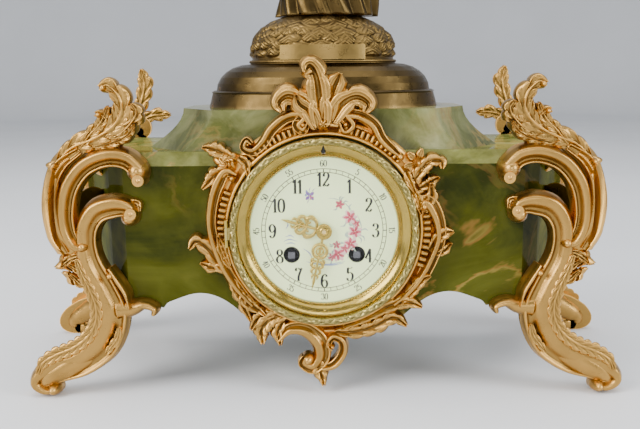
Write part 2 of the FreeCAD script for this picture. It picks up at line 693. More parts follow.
def dial_ring():
    """Flange on the case, spigot in the bore, raised ring round the enamel and the bezel's fixed knuckles."""
    up, face = size("dial_up"), -size("case_front")
    seat = size("dial_out") - size("dial_thick") - size("case_front")
    enamel, rim, flange = size("dial_rad") + 0.3, size("rehaut_rad"), size("ring_rad")
    spigot = size("bore_rad") - 0.3
    spigot_bore = size("bore_rad") - 3.5
    plate_back = size("case_front") + size("front_plate_y")
    profile = [(42, 0), (42, seat), (enamel, seat), (enamel, seat + 2.3), (enamel + 1.6, seat + 3.4),
               (rim - 3, seat + 5.0), (rim, seat + 5.3), (rim, seat), (flange, seat), (flange, 0),
               (spigot, 0), (spigot, -plate_back), (spigot_bore, -plate_back)]
    points = [Vector(r, 0, z) for r, z in profile]
    ring = Part.Face(Part.makePolygon(points + points[:1])).revolve(Vector(), Vector(0, 0, 1), 360)
    ring.Placement = Placement(Vector(0, face, up), FACING["front"])
    ring = ring.cut(bar_y(REGULATOR_HOLE, (0, up + REGULATOR_UP), face - 20, face + 1))
    hinge_x = -(size("bezel_rad") + HINGE_OUT)
    spans = [(-HINGE_HALF, -KNUCKLE_HALF - 0.3), (KNUCKLE_HALF + 0.3, HINGE_HALF)]
    parts = knuckles(hinge_x, HINGE_Y, up, spans,
                     PIN_RADIUS)
    for low, high in ((-HINGE_HALF, -KNUCKLE_HALF - 0.3), (KNUCKLE_HALF + 0.3, HINGE_HALF)):
        leaf = box_between((hinge_x - 1.4, HINGE_Y, up + low), (hinge_x - 0.2, face, up + high))
        leaf = leaf.cut(rod(PIN_RADIUS, (hinge_x, HINGE_Y, up + low - 1), (hinge_x, HINGE_Y, up + high + 1)))
        foot = box_between((hinge_x - 1.4, face - 1.8, up + low), (-flange + 3, face, up + high))
        parts += [leaf, foot]
    shaped("dial_ring", ring.multiFuse(parts).removeSplitter())


def enamel_dial():
    holes = [("0", "0", "4.2")]
    holes += [(x, "-key_drop", "key_hole") for x in ("key_half", "-key_half")]
    dial = turned("enamel_dial", [("0", "0"), ("dial_rad", "0"), ("dial_rad", "dial_thick * 0.7"),
                                  ("dial_rad - 1", "dial_thick"), ("0", "dial_thick")],
                  ("0", "dial_thick - dial_out", "dial_up"), "front")
    tools = [cylinder(f"dial_hole_{i}", r, "dial_thick + 2", (x, "-dial_out - 1", f"dial_up + ({z})"), "back")
             for i, (x, z, r) in enumerate(holes)]
    carved("enamel_dial", dial, tools)


def bezel():
    """The hinged ring with its rebate for the glass and its own knuckle."""
    up, face = size("dial_up"), -size("case_front")
    outer, front = size("bezel_rad"), size("bezel_front") - size("case_front")
    wall = outer - 2.6
    profile = [(wall, BEZEL_BACK), (outer, BEZEL_BACK), (outer, front - 2), (outer - 1.5, front), (wall - 1, front),
               (wall - 1.9, front - 1.6), (wall, front - 1.6)]
    points = [Vector(r, 0, z) for r, z in profile]
    ring = Part.Face(Part.makePolygon(points + points[:1])).revolve(Vector(), Vector(0, 0, 1), 360)
    ring.Placement = Placement(Vector(0, face, up), FACING["front"])
    hinge_x = -(outer + HINGE_OUT)
    web = box_between((hinge_x, HINGE_Y - 1, up - KNUCKLE_HALF),
                      (-wall - 0.6, HINGE_Y + 1, up + KNUCKLE_HALF))
    hole = rod(PIN_RADIUS + size("pivot_play"), (hinge_x, HINGE_Y, up - 20), (hinge_x, HINGE_Y, up + 20))
    barrel = rod(KNUCKLE_RADIUS, (hinge_x, HINGE_Y, up - KNUCKLE_HALF), (hinge_x, HINGE_Y, up + KNUCKLE_HALF))
    shaped("bezel", ring.multiFuse([web, barrel]).cut(hole))
    glass_back = front - 1.6 - size("glass_thick")
    glass_front = face - glass_back - size("glass_thick")
    shaped("bezel_glass", bar_y(wall - 0.1, (0, up), glass_front, face - glass_back))
    keeper = bar_y(wall, (0, up), face - glass_back, face - glass_back + 1.2)
    shaped("glass_retainer", keeper.cut(bar_y(wall - 2.2, (0, up), face - 40, face)))


def hinge_pins():
    """The two plain pins that the front bezel and the rear door turn on."""
    up = size("dial_up")
    front_x = -(size("bezel_rad") + HINGE_OUT)
    pins = [rod(PIN_RADIUS, (front_x, HINGE_Y, up - HINGE_HALF), (front_x, HINGE_Y, up + HINGE_HALF)),
            rod(PIN_RADIUS, (rear_hinge_x(), rear_hinge_y(), up - HINGE_HALF),
                (rear_hinge_x(), rear_hinge_y(), up + HINGE_HALF))]
    shaped("hinge_pins", Part.Compound(pins))


# ---------------------------------------------------------------- the rear ring and its door

REAR_FLANGE = 2.5
DOOR_GAP = 0.4
DOOR_THICK = 2.2


def rear_hinge_x():
    return size("ring_rad") + HINGE_OUT


def rear_hinge_y():
    return size("case_rear") + REAR_FLANGE + DOOR_GAP + 1.5


def rear_ring():
    up, face = size("dial_up"), size("case_rear")
    ring = bar_y(size("ring_rad"), (0, up), face, face + REAR_FLANGE)
    ring = ring.cut(bar_y(size("bore_rad") + 0.5, (0, up), face - 1, face + REAR_FLANGE + 1))
    parts = []
    for side in (-1, 1):
        inner, outer = sorted((side * (STRAP_SCREW_X - 4), side * (size("bore_rad") + 4)))
        parts.append(box_between((inner, face, up - 5), (outer, face + REAR_FLANGE, up + 5)))
    x, y = rear_hinge_x(), rear_hinge_y()
    gaps = ((-HINGE_HALF, -KNUCKLE_HALF - 0.3), (KNUCKLE_HALF + 0.3, HINGE_HALF))
    parts += knuckles(x, y, up, gaps, PIN_RADIUS)
    for low, high in gaps:
        leaf = box_between((x - 1.4, face, up + low), (x + 1.4, y - 0.9, up + high))
        foot = box_between((x - 5, face, up + low), (x, face + 1.6, up + high))
        parts += [leaf, foot]
    ring = ring.multiFuse(parts)
    for side in (-1, 1):
        spot = (side * STRAP_SCREW_X, up)
        ring = ring.cut(bar_y(STRAP_SCREW + 0.2, spot, face - 1, face + REAR_FLANGE + 1))
    shaped("rear_ring", ring.removeSplitter())


def rear_door():
    """A spun brass door with a raised rim and a small knob, and its own knuckle."""
    up, back = size("dial_up"), size("case_rear") + REAR_FLANGE + DOOR_GAP
    rim = size("ring_rad") - 1.5
    profile = [(0, 0), (rim, 0), (rim, DOOR_THICK), (rim - 4, DOOR_THICK + 1.4), (rim - 6, DOOR_THICK),
               (0, DOOR_THICK)]
    points = [Vector(r, 0, z) for r, z in profile]
    disc = Part.Face(Part.makePolygon(points + points[:1])).revolve(Vector(), Vector(0, 0, 1), 360)
    disc.Placement = Placement(Vector(0, back, up), FACING["back"])
    x, y = rear_hinge_x(), rear_hinge_y()
    web = box_between((rim - 2, y - 0.9, up - KNUCKLE_HALF), (x, y + 0.5, up + KNUCKLE_HALF))
    barrel = rod(KNUCKLE_RADIUS, (x, y, up - KNUCKLE_HALF), (x, y, up + KNUCKLE_HALF))
    knob = bar_y(1.6, (-rim + 12, up), back + 1, back + DOOR_THICK + 3)
    knob = knob.fuse(Part.makeSphere(3.0, Vector(-rim + 12, back + DOOR_THICK + 5, up)))
    door = disc.multiFuse([web, barrel, knob])
    shaped("rear_door", door.cut(rod(PIN_RADIUS + size("pivot_play"), (x, y, up - 20), (x, y, up + 20))))


STRAP_SCREW_X = 40.5
STRAP_SCREW = 1.5
STRAP_WIDE = 9.0
STRAP_THICK = 1.4
STRAP_END_Y = size("case_rear") - 14.0


def movement_straps():
    """Two straps from the dial ring back along the bore, each with a tapped lug for a screw."""
    up = size("dial_up")
    front = size("front_plate_y")
    reach = size("bore_rad") - 0.35
    straps, screws = [], []
    for side in (-1, 1):
        inner, outer = sorted((side * (reach - STRAP_THICK), side * reach))
        band = box_between((inner, front, up - STRAP_WIDE / 2), (outer, STRAP_END_Y, up + STRAP_WIDE / 2))
        band = band.common(bar_y(reach, (0, up), front - 1, STRAP_END_Y + 1))
        low, high = sorted((side * (STRAP_SCREW_X - 3.5), side * (reach - 0.5)))
        lug = box_between((low, STRAP_END_Y - 4, up - STRAP_WIDE / 2),
                          (high, STRAP_END_Y, up + STRAP_WIDE / 2))
        hole = bar_y(STRAP_SCREW, (side * STRAP_SCREW_X, up), STRAP_END_Y - 5, STRAP_END_Y + 1)
        straps.append(band.fuse(lug.common(bar_y(reach, (0, up), front, STRAP_END_Y + 1))).cut(hole))
        back = size("case_rear") + REAR_FLANGE
        shank = bar_y(STRAP_SCREW, (side * STRAP_SCREW_X, up), STRAP_END_Y - 4, back)
        head = bar_y(2.6, (side * STRAP_SCREW_X, up), back - 0.01, back + DOOR_GAP - 0.1)
        screws.append(shank.fuse(head))
    shaped("movement_straps", Part.Compound(straps))
    shaped("strap_screws", Part.Compound(screws))


# ---------------------------------------------------------------- the movement

# Wheel teeth and pinion leaves, with the module in millimetres of each mesh.
GREAT_TEETH, SECOND_LEAVES, GREAT_MODULE = 72, 12, 0.44
SECOND_TEETH, CENTRE_LEAVES, SECOND_MODULE = 60, 10, 0.50
CENTRE_TEETH, THIRD_LEAVES, CENTRE_MODULE = 84, 7, 0.36
THIRD_TEETH, ESCAPE_LEAVES, THIRD_MODULE = 78, 7, 0.33
ESCAPE_TEETH, ESCAPE_RADIUS = 47, 8.5
PIN_LEAVES, STRIKE_MODULE = 8, 0.44
PIN_TEETH, WARNING_LEAVES, PIN_MODULE = 56, 7, 0.36
WARNING_TEETH, FLY_LEAVES, WARNING_MODULE = 50, 7, 0.33
CANNON_TEETH, MINUTE_TEETH, CANNON_MODULE = 14, 42, 0.45
MINUTE_LEAVES, HOUR_TEETH, HOUR_MODULE = 12, 48, 0.42

WHEEL_FORM = (0.8, 1.1, 0.20, 0.42)
PINION_FORM = (0.4, 1.3, 0.26, 0.38)
RUN_GAP = 0.25
PIVOT = 0.7
SHAFT = 0.85
LIFTING_PINS = 10


def reach_of(teeth, leaves, module):
    """Distance between the arbors of a meshing pair."""
    return (teeth + leaves) * module / 2


def crossing(a, ra, b, rb, side):
    """The place at distance ra from a and rb from b, on the left (1) or right (-1) of the way from a to b."""
    along = (b[0] - a[0], b[1] - a[1])
    apart = math.hypot(*along)
    unit = (along[0] / apart, along[1] / apart)
    step = (ra ** 2 - rb ** 2 + apart ** 2) / (2 * apart)
    off = side * math.sqrt(ra ** 2 - step ** 2)
    return (a[0] + unit[0] * step - unit[1] * off, a[1] + unit[1] * step + unit[0] * off)


def polar(centre, radius, degrees):
    turn = math.radians(degrees)
    return (centre[0] + radius * math.cos(turn), centre[1] + radius * math.sin(turn))


CENTRE = (0.0, size("dial_up"))
GOING = (size("key_half"), size("dial_up - key_drop"))
STRIKE = (-size("key_half"), size("dial_up - key_drop"))
SECOND = crossing(CENTRE, reach_of(SECOND_TEETH, CENTRE_LEAVES, SECOND_MODULE),
                  GOING, reach_of(GREAT_TEETH, SECOND_LEAVES, GREAT_MODULE), 1)
THIRD = polar(CENTRE, reach_of(CENTRE_TEETH, THIRD_LEAVES, CENTRE_MODULE), 120)
ESCAPE_REACH = reach_of(THIRD_TEETH, ESCAPE_LEAVES, THIRD_MODULE)
ESCAPE = (0.0, THIRD[1] + math.sqrt(ESCAPE_REACH ** 2 - THIRD[0] ** 2))
ANCHOR = (0.0, ESCAPE[1] + ESCAPE_RADIUS + 2.1)
STRIKE_SECOND = (-SECOND[0], SECOND[1])
PIN_WHEEL = polar(STRIKE_SECOND, reach_of(SECOND_TEETH, PIN_LEAVES, STRIKE_MODULE), 125)
WARNING = polar(PIN_WHEEL, reach_of(PIN_TEETH, WARNING_LEAVES, PIN_MODULE), 60)
FLY = polar(WARNING, reach_of(WARNING_TEETH, FLY_LEAVES, WARNING_MODULE), 35)
MINUTE = (0.0, CENTRE[1] - reach_of(MINUTE_TEETH, CANNON_TEETH, CANNON_MODULE))
HAMMER = (-38.3, CENTRE[1] + 2.0)

FRONT_PLATE = (size("front_plate_y"), size("front_plate_y + plate_thick"))
BACK_PLATE_Y = FRONT_PLATE[1] + size("plate_gap")
BACK_PLATE = (BACK_PLATE_Y, BACK_PLATE_Y + size("plate_thick"))


def toothed(teeth, module, at, y0, y1, phase, form):
    """A wheel or pinion with straight flanks: form is its addendum, dedendum, tip and root widths."""
    addendum, dedendum, tip, root = form
    pitch = 2 * math.pi / teeth
    outer = teeth * module / 2 + addendum * module
    inner = teeth * module / 2 - dedendum * module
    points = []
    for k in range(teeth):
        middle = phase + k * pitch
        for half, radius in ((-root, inner), (-tip, outer), (tip, outer), (root, inner)):
            turn = middle + half * pitch / 2
            points.append(Vector(at[0] + radius * math.cos(turn), y0, at[1] + radius * math.sin(turn)))
    return Part.Face(Part.makePolygon(points + points[:1])).extrude(Vector(0, y1 - y0, 0))


def mesh_phase(wheel_at, teeth, wheel_phase, pinion_at, leaves):
    """The phase that puts a pinion's gap where the wheel's tooth is, on the line between them."""
    line = math.atan2(pinion_at[1] - wheel_at[1], pinion_at[0] - wheel_at[0])
    share = ((line - wheel_phase) * teeth / (2 * math.pi)) % 1
    return line + math.pi + (share + 0.5) * 2 * math.pi / leaves


def crossed_out(wheel, at, y0, y1, hub, rim, spokes):
    """Takes sectors out of a wheel so that it has spokes."""
    ring = bar_y(rim, at, y0 - 1, y1 + 1).cut(bar_y(hub, at, y0 - 1, y1 + 1))
    for k in range(spokes):
        bar = box_between((0, y0 - 1, -0.75), (rim + 1, y1 + 1, 0.75))
        bar.rotate(Vector(0, 0, 0), Vector(0, 1, 0), k * 360 / spokes)
        bar.translate(Vector(at[0], 0, at[1]))
        ring = ring.cut(bar)
    return wheel.cut(ring)


def arbor(label, at, wheel, wheel_y, pinion=None, pinion_y=None, shaft_y=None, more=()):
    """An arbor between the plates: pivots, shaft, a crossed-out wheel and a pinion, as one piece."""
    inner = (FRONT_PLATE[1] + RUN_GAP, BACK_PLATE[0] - RUN_GAP)
    shaft_y = shaft_y or (FRONT_PLATE[0], BACK_PLATE[1])
    parts = [bar_y(PIVOT, at, *shaft_y), bar_y(SHAFT, at, *inner)]
    if wheel:
        teeth, module, phase = wheel
        rim = teeth * module / 2 - 1.1 * module - 1.2
        disc = toothed(teeth, module, at, *wheel_y, phase, WHEEL_FORM)
        parts.append(crossed_out(disc, at, *wheel_y, SHAFT + 1.6, rim, 4))
    if pinion:
        leaves, module, phase = pinion
        parts.append(toothed(leaves, module, at, *pinion_y, phase, PINION_FORM))
    parts += list(more)
    return shaped(label, parts[0].multiFuse(parts[1:]))


def plates():
    """Front and back plates with a hole for every pivot and pillar."""
    play = size("pivot_play")
    pivots = [SECOND, THIRD, ESCAPE, STRIKE_SECOND, PIN_WHEEL, WARNING, FLY]
    front = bar_y(size("plate_rad"), CENTRE, *FRONT_PLATE)
    back = bar_y(size("plate_rad"), CENTRE, *BACK_PLATE)
    holes = [(at, PIVOT) for at in pivots]
    front_holes = holes + [(CENTRE, CENTRE_PIVOT), (GOING, BARREL_PIVOT), (STRIKE, BARREL_PIVOT),
                           (ANCHOR, PIVOT), (HAMMER, PIVOT)]
    back_holes = holes + [(CENTRE, PIVOT), (GOING, PIVOT), (STRIKE, PIVOT),
                          (ANCHOR, ANCHOR_HOLE), (HAMMER, SHAFT)]
    for at, radius in front_holes:
        front = front.cut(bar_y(radius + play, at, FRONT_PLATE[0] - 1, FRONT_PLATE[1] + 1))
    for at, radius in back_holes:
        back = back.cut(bar_y(radius + play, at, BACK_PLATE[0] - 1, BACK_PLATE[1] + 1))
    for at in PILLARS:
        front = front.cut(bar_y(PILLAR_STUD, at, FRONT_PLATE[0] - 1, FRONT_PLATE[1] + 1))
        back = back.cut(bar_y(PILLAR_STUD, at, BACK_PLATE[0] - 1, BACK_PLATE[1] + 1))
    shaped("front_plate", front)
    shaped("back_plate", back)


CENTRE_PIVOT = 1.6
BARREL_PIVOT = 2.5
ANCHOR_HOLE = 1.6
PILLAR_STUD = 1.5
PILLARS = [polar(CENTRE, size("plate_rad") - inset, angle)
           for inset, angle in ((4.4, 35), (3.2, 165), (4.4, 244), (4.4, 296))]


def pillars():
    posts, nuts = [], []
    for at in PILLARS:
        post = bar_y(2.6, at, FRONT_PLATE[1], BACK_PLATE[0])
        post = post.multiFuse([bar_y(3.3, at, FRONT_PLATE[1], FRONT_PLATE[1] + 2.5),
                               bar_y(3.3, at, BACK_PLATE[0] - 2.5, BACK_PLATE[0]),
                               bar_y(PILLAR_STUD, at, FRONT_PLATE[0], BACK_PLATE[1] + 2.2)])
        posts.append(post.removeSplitter())
        nut = hexagon(5.5, (at[0], BACK_PLATE[1], at[1]), (0, 1, 0), 2)
        nuts.append(nut.cut(bar_y(PILLAR_STUD, at, BACK_PLATE[0], BACK_PLATE[1] + 5)))
    shaped("plate_pillars", Part.Compound(posts))
    shaped("pillar_nuts", Part.Compound(nuts))


# Stations along Y, in front of the back plate or behind the front plate.
SECOND_WHEEL_Y = (FRONT_PLATE[1] + 0.6, FRONT_PLATE[1] + 1.8)
CENTRE_PINION_Y = (FRONT_PLATE[1] + 0.4, FRONT_PLATE[1] + 3.6)
DRUM_Y = (FRONT_PLATE[1] + 4.2, BACK_PLATE[0] - 9.5)
GREAT_Y = (DRUM_Y[1], DRUM_Y[1] + 2.0)
SECOND_PINION_Y = (GREAT_Y[0] - 0.8, GREAT_Y[1] + 0.8)
CENTRE_WHEEL_Y = (BACK_PLATE[0] - 4.6, BACK_PLATE[0] - 3.4)
THIRD_PINION_Y = (CENTRE_WHEEL_Y[0] - 1, CENTRE_WHEEL_Y[1] + 1)
THIRD_WHEEL_Y = (FRONT_PLATE[1] + 12, FRONT_PLATE[1] + 13.2)
ESCAPE_PINION_Y = (THIRD_WHEEL_Y[0] - 1, THIRD_WHEEL_Y[1] + 1)
ESCAPE_WHEEL_Y = (BACK_PLATE[0] - 4.6, BACK_PLATE[0] - 3.6)
DRUM_RADIUS = 14.3
BARREL_HOLE = 2.5
MOTION_Y = (FRONT_PLATE[0] - 2.0, FRONT_PLATE[0] - 0.4)
HOUR_WHEEL_Y = (FRONT_PLATE[0] - 4.0, FRONT_PLATE[0] - 2.6)
DIAL_FACE = -size("dial_out")
HOUR_HAND_Y = (DIAL_FACE - 1.8, DIAL_FACE - 1.1)
MINUTE_HAND_Y = (DIAL_FACE - 3.5, DIAL_FACE - 2.8)
SQUARE_FRONT_Y = DIAL_FACE - 1.5


def barrel(label, at):
    """A spring drum with its great wheel and cap, hollow, turning on the winding arbor."""
    drum = bar_y(DRUM_RADIUS, at, *DRUM_Y).cut(bar_y(DRUM_RADIUS - 1.2, at, DRUM_Y[0] + 1, DRUM_Y[1] - 1))
    great = toothed(GREAT_TEETH, GREAT_MODULE, at, *GREAT_Y, 0.0, WHEEL_FORM)
    whole = drum.fuse(great)
    shaped(label, whole.cut(bar_y(BARREL_HOLE + size("pivot_play"), at, DRUM_Y[0] - 1, GREAT_Y[1] + 1)))


def winding_arbor(label, at):
    """The square that the key fits, the arbor through the barrel, and the ratchet wheel behind it."""
    flat = 2.3
    square = box_between((at[0] - flat, SQUARE_FRONT_Y, at[1] - flat),
                         (at[0] + flat, FRONT_PLATE[0] - 0.3, at[1] + flat))
    square = square.common(bar_y(2.9, at, SQUARE_FRONT_Y - 1, FRONT_PLATE[0]))
    parts = [bar_y(BARREL_PIVOT, at, FRONT_PLATE[0] - 0.3, GREAT_Y[1] + 1.5),
             bar_y(PIVOT, at, GREAT_Y[1], BACK_PLATE[1]),
             bar_y(SHAFT, at, GREAT_Y[1] + 1, BACK_PLATE[0] - RUN_GAP),
             toothed(RATCHET_TEETH, RATCHET_MODULE, at, *RATCHET_Y, 0.0, PINION_FORM)]
    shaped(label, square.multiFuse(parts))


RATCHET_TEETH, RATCHET_MODULE = 18, 0.7
RATCHET_Y = (GREAT_Y[1] + 2.2, GREAT_Y[1] + 3.4)


def clicks():
    """A click beside each ratchet wheel, on a stud in the back plate, held a hair clear of the teeth."""
    tip = RATCHET_TEETH * RATCHET_MODULE / 2 + PINION_FORM[0] * RATCHET_MODULE + 0.25
    pieces = []
    for at, side in ((GOING, 1), (STRIKE, -1)):
        stud_at = (at[0] - side * 2.0, at[1] - tip - 3.0)
        stud = bar_y(1.2, stud_at, RATCHET_Y[0], BACK_PLATE[0])
        arm = box_between((min(stud_at[0], at[0]) - 0.5, RATCHET_Y[0], stud_at[1] - 1.2),
                          (max(stud_at[0], at[0]) + 1.5, RATCHET_Y[1], at[1] - tip))
        arm = arm.cut(bar_y(tip, at, RATCHET_Y[0] - 1, RATCHET_Y[1] + 1))
        pieces.append(max(stud.fuse(arm).Solids, key=lambda s: s.Volume))
    shaped("clicks", Part.Compound(pieces))


def going_train():
    """From the barrel to the escape wheel."""
    barrel("going_barrel", GOING)
    winding_arbor("going_winding_arbor", GOING)
    pinion_phase = mesh_phase(GOING, GREAT_TEETH, 0.0, SECOND, SECOND_LEAVES)
    arbor("second_arbor", SECOND, (SECOND_TEETH, SECOND_MODULE, 0.0), SECOND_WHEEL_Y,
          (SECOND_LEAVES, GREAT_MODULE, pinion_phase), SECOND_PINION_Y)
    centre_phase = mesh_phase(SECOND, SECOND_TEETH, 0.0, CENTRE, CENTRE_LEAVES)
    nose = bar_y(CENTRE_PIVOT, CENTRE, MINUTE_HAND_Y[0] - 1.2, FRONT_PLATE[1] + 0.4)
    arbor("centre_arbor", CENTRE, (CENTRE_TEETH, CENTRE_MODULE, 0.0), CENTRE_WHEEL_Y,
          (CENTRE_LEAVES, SECOND_MODULE, centre_phase), CENTRE_PINION_Y,
          (FRONT_PLATE[0], BACK_PLATE[1]), [nose])
    third_phase = mesh_phase(CENTRE, CENTRE_TEETH, 0.0, THIRD, THIRD_LEAVES)
    arbor("third_arbor", THIRD, (THIRD_TEETH, THIRD_MODULE, 0.0), THIRD_WHEEL_Y,
          (THIRD_LEAVES, CENTRE_MODULE, third_phase), THIRD_PINION_Y)
    escape_phase = mesh_phase(THIRD, THIRD_TEETH, 0.0, ESCAPE, ESCAPE_LEAVES)
    escape_module = 2 * ESCAPE_RADIUS / ESCAPE_TEETH
    wheel = toothed(ESCAPE_TEETH, escape_module, ESCAPE, *ESCAPE_WHEEL_Y, 0.0, (0.0, 2.4, 0.12, 0.6))
    wheel = crossed_out(wheel, ESCAPE, *ESCAPE_WHEEL_Y, SHAFT + 1.4, ESCAPE_RADIUS - 2.2, 4)
    arbor("escape_arbor", ESCAPE, None, None, (ESCAPE_LEAVES, THIRD_MODULE, escape_phase),
          ESCAPE_PINION_Y, None, [wheel])


def strike_train():
    """From the strike barrel to the fly, with the count wheel on the second arbor behind the back plate."""
    barrel("strike_barrel", STRIKE)
    winding_arbor("strike_winding_arbor", STRIKE)
    pinion_phase = mesh_phase(STRIKE, GREAT_TEETH, 0.0, STRIKE_SECOND, SECOND_LEAVES)
    count = bar_y(COUNT_RADIUS, STRIKE_SECOND, *COUNT_Y)
    for k in range(12):
        notch = box_between((COUNT_RADIUS - 1.2, COUNT_Y[0] - 1, -0.5),
                            (COUNT_RADIUS + 1, COUNT_Y[1] + 1, 0.5))
        notch.rotate(Vector(0, 0, 0), Vector(0, 1, 0), 360 * k * (k + 3) / 2 / 90)
        notch.translate(Vector(STRIKE_SECOND[0], 0, STRIKE_SECOND[1]))
        count = count.cut(notch)
    tail = bar_y(PIVOT, STRIKE_SECOND, BACK_PLATE[0], COUNT_Y[1] + 1.4)
    arbor("strike_second_arbor", STRIKE_SECOND, (SECOND_TEETH, STRIKE_MODULE, 0.0), SECOND_WHEEL_Y,
          (SECOND_LEAVES, GREAT_MODULE, pinion_phase), SECOND_PINION_Y, None, [tail, count])
    pin_phase = mesh_phase(STRIKE_SECOND, SECOND_TEETH, 0.0, PIN_WHEEL, PIN_LEAVES)
    ring = PIN_TEETH * PIN_MODULE / 2 - 1.9
    spots = [polar(PIN_WHEEL, ring, 360 / LIFTING_PINS * k) for k in range(LIFTING_PINS)]
    pins = [bar_y(0.5, spot, PIN_WHEEL_Y[0] - 2.5, PIN_WHEEL_Y[0] + 0.5) for spot in spots]
    arbor("pin_wheel_arbor", PIN_WHEEL, (PIN_TEETH, PIN_MODULE, 0.0), PIN_WHEEL_Y,
          (PIN_LEAVES, STRIKE_MODULE, pin_phase), CENTRE_PINION_Y, None, pins)
    warning_phase = mesh_phase(PIN_WHEEL, PIN_TEETH, 0.0, WARNING, WARNING_LEAVES)
    arbor("warning_arbor", WARNING, (WARNING_TEETH, WARNING_MODULE, 0.0), WARNING_WHEEL_Y,
          (WARNING_LEAVES, PIN_MODULE, warning_phase), (PIN_WHEEL_Y[0] - 0.8, PIN_WHEEL_Y[1] + 0.8))
    fly_phase = mesh_phase(WARNING, WARNING_TEETH, 0.0, FLY, FLY_LEAVES)
    vane = box_between((FLY[0] - 5.2, FLY_Y[0], FLY[1] - 0.4), (FLY[0] + 5.2, FLY_Y[1], FLY[1] + 0.4))
    arbor("fly_arbor", FLY, None, None, (FLY_LEAVES, WARNING_MODULE, fly_phase),
          (WARNING_WHEEL_Y[0] - 0.8, WARNING_WHEEL_Y[1] + 0.8), None, [vane])


COUNT_RADIUS = 12.5
COUNT_Y = (BACK_PLATE[1] + 2.4, BACK_PLATE[1] + 3.4)
PIN_WHEEL_Y = (BACK_PLATE[0] - 8.2, BACK_PLATE[0] - 7.0)
WARNING_WHEEL_Y = (FRONT_PLATE[1] + 4.6, FRONT_PLATE[1] + 5.6)
FLY_Y = (BACK_PLATE[0] - 18.5, BACK_PLATE[0] - 11.0)


def motion_work():
    """Cannon pinion, minute wheel and hour wheel under the dial, and the two hands."""
    play = size("pivot_play")
    cannon = toothed(CANNON_TEETH, CANNON_MODULE, CENTRE, *MOTION_Y, 0.0, PINION_FORM)
    pipe = bar_y(2.3, CENTRE, MINUTE_HAND_Y[0] + 0.05, MOTION_Y[1])
    shaped("cannon_pinion", cannon.fuse(pipe).cut(bar_y(CENTRE_PIVOT, CENTRE, -90, FRONT_PLATE[0])))
    minute_phase = mesh_phase(CENTRE, CANNON_TEETH, 0.0, MINUTE, MINUTE_TEETH)
    stud = (FRONT_PLATE[0] - 5.0, FRONT_PLATE[0] - 0.2)
    wheel = toothed(MINUTE_TEETH, CANNON_MODULE, MINUTE, *MOTION_Y, minute_phase, WHEEL_FORM)
    wheel = crossed_out(wheel, MINUTE, *MOTION_Y, 3.4, MINUTE_TEETH * CANNON_MODULE / 2 - 2.0, 4)
    leaves = toothed(MINUTE_LEAVES, HOUR_MODULE, MINUTE, stud[0] + 0.4, MOTION_Y[0], 0.0, PINION_FORM)
    shaped("minute_wheel", wheel.fuse(leaves).cut(bar_y(1.0 + play, MINUTE, stud[0] - 1, 0)))
    shaped("minute_stud", bar_y(1.0, MINUTE, stud[0], FRONT_PLATE[0]).fuse(
        bar_y(1.6, MINUTE, stud[0] - 0.6, stud[0])))
    hour_phase = mesh_phase(MINUTE, MINUTE_LEAVES, 0.0, CENTRE, HOUR_TEETH)
    hour = toothed(HOUR_TEETH, HOUR_MODULE, CENTRE, *HOUR_WHEEL_Y, hour_phase, WHEEL_FORM)
    hour = hour.fuse(bar_y(3.3, CENTRE, HOUR_HAND_Y[0], HOUR_WHEEL_Y[1]))
    shaped("hour_wheel", hour.cut(bar_y(2.3 + play, CENTRE, HOUR_HAND_Y[0] - 1, HOUR_WHEEL_Y[1] + 1)))
    hand("hour_hand", HOUR_HAND_Y, HOUR_ANGLE, HOUR_OUTLINE, 3.3, 4.6)
    hand("minute_hand", MINUTE_HAND_Y, MINUTE_ANGLE, MINUTE_OUTLINE, 2.3, 4.0)
    collet = bar_y(3.8, CENTRE, MINUTE_HAND_Y[0] - 1.0, MINUTE_HAND_Y[0])
    collet = collet.fuse(bar_y(2.4, CENTRE, MINUTE_HAND_Y[0] - 1.6, MINUTE_HAND_Y[0] - 1.0))
    shaped("hand_collet", collet.cut(bar_y(CENTRE_PIVOT, CENTRE, -90, MINUTE_HAND_Y[0] + 1)))


HOUR_ANGLE, MINUTE_ANGLE = 286.0, 192.0
# half width of a hand's outline at distances from the centre
HOUR_OUTLINE = [(3, 1.4), (8, 1.6), (11, 5.0), (14, 6.2), (17, 4.4), (20, 3.4), (24, 1.0), (28, 0.4)]
MINUTE_OUTLINE = [
    (3, 1.4), (7, 2.0), (10, 4.6), (13, 5.2), (16, 3.6), (20, 2.6), (26, 2.2), (32, 1.6), (39, 0.3),
]


def hand(label, y_range, clockwise, outline, hole, boss):
    """A flat hand, pointing a number of degrees clockwise from twelve."""
    right = [Vector(half, y_range[0], out) for out, half in outline]
    left = [Vector(-half, y_range[0], out) for out, half in outline[::-1]]
    thick = y_range[1] - y_range[0]
    blade = Part.Face(Part.makePolygon(right + left + right[:1])).extrude(Vector(0, thick, 0))
    blade = blade.fuse(Part.makeCylinder(boss, thick, Vector(0, y_range[0], 0), Vector(0, 1, 0)))
    blade.rotate(Vector(0, 0, 0), Vector(0, 1, 0), clockwise)
    blade.translate(Vector(CENTRE[0], 0, CENTRE[1]))
    shaped(label, blade.cut(bar_y(hole, CENTRE, y_range[0] - 1, y_range[1] + 1)))


# ---------------------------------------------------------------- escapement, pendulum and strike

PENDULUM_Y = BACK_PLATE[1] + 9.0
CRUTCH_Y = (BACK_PLATE[1] + 1.0, BACK_PLATE[1] + 2.4)
PALLET_CLEAR = 0.35


